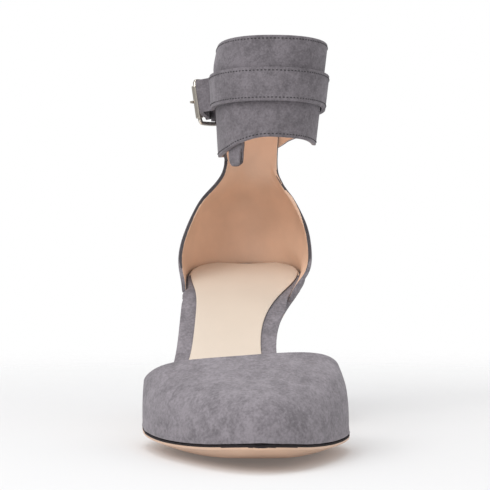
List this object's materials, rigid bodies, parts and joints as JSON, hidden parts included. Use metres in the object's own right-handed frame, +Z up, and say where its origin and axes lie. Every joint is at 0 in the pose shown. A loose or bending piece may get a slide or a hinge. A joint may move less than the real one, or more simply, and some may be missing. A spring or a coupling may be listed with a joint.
{
  "type": "ankle strap pump",
  "caption": "Right-foot pointed pump with open sides, high counter, wide suede ankle cuff and a buckled strap on a slim 70 mm heel.",
  "frame": {"origin": "on the floor at the flat tread under the ball of the foot", "axes": "+Z up from the floor, +Y from the toe to the heel, +X to the inner side of the foot"},
  "size_m": [0.082, 0.2442, 0.1677],
  "materials": {
    "suede": "grey suede, matt nap",
    "sole_leather": "smooth nude leather, dark edge",
    "sock_leather": "smooth pale leather, satin",
    "tip_rubber": "hard black top piece",
    "nickel": "polished nickel"
  },
  "bodies": {
    "root": {"outsole": "sole_leather", "heel": "suede", "heel_tip": "tip_rubber", "insole_board": "suede", "sock": "sock_leather", "vamp": "suede", "quarter": "suede", "cuff": "suede", "cuff_strap": "suede", "chape": "suede", "keeper": "suede", "buckle_frame": "nickel", "buckle_roller": "nickel", "buckle_prong": "nickel"}
  },
  "joints": []
}
